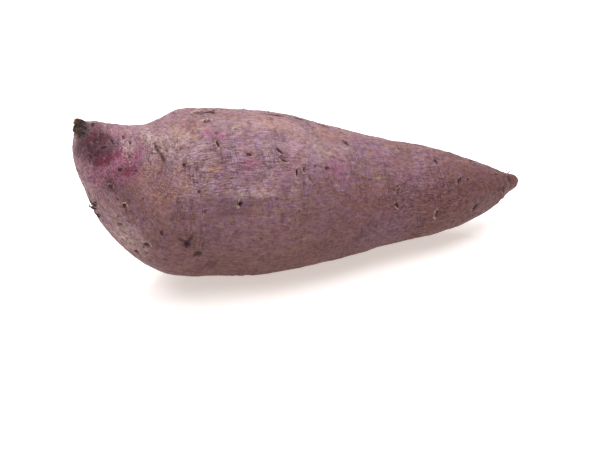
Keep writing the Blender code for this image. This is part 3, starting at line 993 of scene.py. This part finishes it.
draw = np.random.default_rng(91)
fibre_turn = draw.uniform(0.0, 2 * math.pi, STUB_FIBRES)
fibre_ring = draw.uniform(*FIBRE_RINGS, STUB_FIBRES)
fibre_out = np.outer(np.cos(fibre_turn), side) + np.outer(np.sin(fibre_turn), rise)
fibre_feet = fibre_out * fibre_ring[:, None] * FIBRE_SPREAD + STUB_AXIS * FIBRE_START
fibre_feet += STUB_SEAT + to_model + stub_top
fibre_length = draw.uniform(*FIBRE_LENGTHS, (STUB_FIBRES, 1))
fibre_splay = draw.uniform(*FIBRE_SPLAYS, (STUB_FIBRES, 1))
fibre_tips = fibre_feet + fibre_length * STUB_AXIS + fibre_splay * fibre_out
fibre_bows = draw.uniform(-FIBRE_BOW, FIBRE_BOW, (STUB_FIBRES, 3))
fibre_half = draw.uniform(*FIBRE_HALF_WIDTHS, STUB_FIBRES)
stub_fibres = strands("stub_fibres", fibre_feet, fibre_tips, fibre_bows, fibre_half, FIBRE_TIP)
torn_all = stub_fibres.data.attributes.new("torn", "FLOAT", "POINT").data
torn_all.foreach_set("value", np.ones(len(torn_all), np.float32))
stub_fibres.data.materials.append(stalk)
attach(stub_fibres, "root")

# --------------------------------------------------
# Rootlets. Fine feeding roots that dried and broke off near the skin: a small tuft low on the
# stem end's side and single hairs elsewhere.
# --------------------------------------------------

# Place, degrees round, length, half width, height off the skin, and lie along and round the skin,
# the last three as shares of the length.
ROOTLETS = (
    (3.52, -56.0, 5.2, 0.46, 0.36, -0.90, 0.10),
    (3.70, -60.0, 5.0, 0.44, 0.42, -0.80, 0.25),
    (3.62, -63.0, 3.4, 0.36, 0.55, -0.40, -0.30),
    (3.85, -58.0, 4.2, 0.42, 0.34, -0.80, 0.05),
    (3.40, -53.0, 3.0, 0.30, 0.60, -0.30, 0.35),
    (3.95, -60.0, 3.0, 0.36, 0.30, -0.60, 0.35),
    (9.10, 119.0, 2.2, 0.20, 0.55, 0.60, 0.10),
    (9.62, 116.0, 2.5, 0.20, 0.55, -0.50, 0.20),
    (10.9, 113.0, 1.8, 0.16, 0.60, 0.40, 0.10),
    (12.60, 200.0, 4.4, 0.32, 0.40, 0.80, 0.20),
    (12.70, 206.0, 3.0, 0.22, 0.60, 0.30, 0.40),
    (15.00, 20.0, 4.8, 0.28, 0.38, 0.85, 0.10),
    (16.20, 140.0, 4.2, 0.24, 0.45, 0.70, -0.20),
    (5.30, -42.0, 1.8, 0.18, 0.60, -0.30, 0.30),
)
ROOTLET_DEPTH = 0.3  # how far its foot is sunk into the skin
ROOTLET_BOW = 0.16  # how far it bows off the skin, as a share of its length
ROOTLET_TIP = 0.4  # its half width near the tip, as a share of the foot's

rootlet_rows = np.array(ROOTLETS)
at = np.array([spot_on(place, degrees) for place, degrees in rootlet_rows[:, :2]])
long, width, off, lie_long, lie_round = (rootlet_rows[:, i, None] for i in range(2, 7))
feet = skin_points[at] - normal[at] * ROOTLET_DEPTH
tips = feet + long * (normal[at] * off + long_way[at] * lie_long + round_way[at] * lie_round)
bows = normal[at] * long * ROOTLET_BOW
rootlets = strands("rootlets", feet, tips, bows, width[:, 0], ROOTLET_TIP, rows=12)

# Dried root bark: dark brown, tough and slightly shiny where it is scuffed.
ROOTLET_DARK = srgb("#2a1c17")
ROOTLET_LIGHT = srgb("#6b4b38")
ROOTLET_RELIEF = 0.3  # millimetres between the lowest and highest streaks

dried, tree = new_material("dried_rootlet_bark")
where = node(tree, "ShaderNodeTexCoord", {}, {}).outputs["Object"]
streaks = speckle(tree, where, 0.8, 3.0, 0.6)
colour = layered(tree, ROOTLET_DARK, ((share_of(tree, streaks, 0.42, 0.66), ROOTLET_LIGHT),))
bump = node(tree, "ShaderNodeBump", {}, {
    "Height": streaks, "Distance": ROOTLET_RELIEF * MM, "Strength": 1.0,
})
shader = node(tree, "ShaderNodeBsdfPrincipled", {}, {
    "Base Color": colour, "Roughness": 0.7, "IOR": 1.5, "Normal": bump.outputs["Normal"],
})
node(tree, "ShaderNodeOutputMaterial", {}, {"Surface": shader.outputs["BSDF"]})
rootlets.data.materials.append(dried)
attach(rootlets, "root")
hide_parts("rootlet_1", "rootlet_2", "rootlet_3", "rootlet_4", "rootlet_5", "rootlet_6")

# --------------------------------------------------
# Floor and light. A glossy white sheet that sweeps up into a low wall all round, under one wide
# softbox in a pale room. The floor glows a little by itself, so that it stays white in every view.
# Sizes are in metres.
# --------------------------------------------------

FLOOR_REACH = 6.0  # from the middle to the wall
FLOOR_NEAR = 1.5  # a first ring of points round the object
WALL_BEND, WALL_HEIGHT = 0.4, 0.7  # radius of the sweep, and the wall's top
BEND_POINTS, FLOOR_COLUMNS = 9, 64

# The profile from the middle outwards: flat, a quarter circle up, and a low straight wall. It is
# carried round the middle, and the first row is one point.
bend = np.linspace(0.0, math.pi / 2, BEND_POINTS)
bend_out = FLOOR_REACH - WALL_BEND + WALL_BEND * np.sin(bend)
floor_out = np.concatenate(([0.0, FLOOR_NEAR], bend_out, [FLOOR_REACH]))
floor_up = np.concatenate(([0.0, 0.0], WALL_BEND * (1.0 - np.cos(bend)), [WALL_HEIGHT]))
floor_turn = np.linspace(0.0, 2 * math.pi, FLOOR_COLUMNS, endpoint=False)
floor_points = np.stack((
    np.outer(floor_out, np.cos(floor_turn)), np.outer(floor_out, np.sin(floor_turn)),
    np.repeat(floor_up[:, None], FLOOR_COLUMNS, axis=1),
), axis=-1).reshape(-1, 3)[FLOOR_COLUMNS - 1:]
column = np.arange(FLOOR_COLUMNS)
after = (column + 1) % FLOOR_COLUMNS
row = 1 + np.arange(len(floor_out) - 2)[:, None] * FLOOR_COLUMNS
row_out = row + FLOOR_COLUMNS
floor_quads = np.stack((row + column, row_out + column, row_out + after, row + after), -1).reshape(-1, 4)
floor_fan = np.stack((np.zeros(FLOOR_COLUMNS, int), 1 + column, 1 + after), -1)
floor_mesh = bpy.data.meshes.new("floor")
floor_mesh.from_pydata(floor_points.tolist(), [], floor_fan.tolist() + floor_quads.tolist())
floor_mesh.shade_smooth()
floor = placed("floor", floor_mesh)

# Cast acrylic, polished: an even white with soft reflections.
FLOOR_WHITE = srgb("#e9e9e9")
FLOOR_GLOW, GLOW_STRENGTH = srgb("#fff4ec"), 0.54

white, tree = new_material("white_acrylic_sheet")
shader = node(tree, "ShaderNodeBsdfPrincipled", {}, {
    "Base Color": FLOOR_WHITE, "Roughness": 0.18, "IOR": 1.45,
    "Emission Color": FLOOR_GLOW, "Emission Strength": GLOW_STRENGTH,
})
node(tree, "ShaderNodeOutputMaterial", {}, {"Surface": shader.outputs["BSDF"]})
floor_mesh.materials.append(white)


def softbox(name, place, aim, width, height, watts):
    """A rectangular lamp at place, turned to face aim."""
    lamp = bpy.data.lights.new(name, "AREA")
    lamp.shape = "RECTANGLE"
    lamp.size, lamp.size_y = width, height
    lamp.energy = watts
    made = placed(name, lamp)
    made.location = place
    way = np.array(place) - np.array(aim)
    across = np.hypot(way[0], way[1])
    made.rotation_euler = (math.atan2(across, way[2]), 0.0, math.atan2(way[0], -way[1]))


softbox("overhead", (-0.10, 0.22, 1.3), (0.0, 0.0, 0.0), 2.2, 2.0, 48.0)

ROOM_COLOUR, ROOM_STRENGTH = srgb("#f7f8fa"), 0.34

world = bpy.data.worlds.new("pale_room")
world.use_nodes = True
room = world.node_tree.nodes["Background"].inputs
room["Color"].default_value = ROOM_COLOUR
room["Strength"].default_value = ROOM_STRENGTH
bpy.context.scene.world = world
bpy.context.scene.view_settings.view_transform = "Standard"
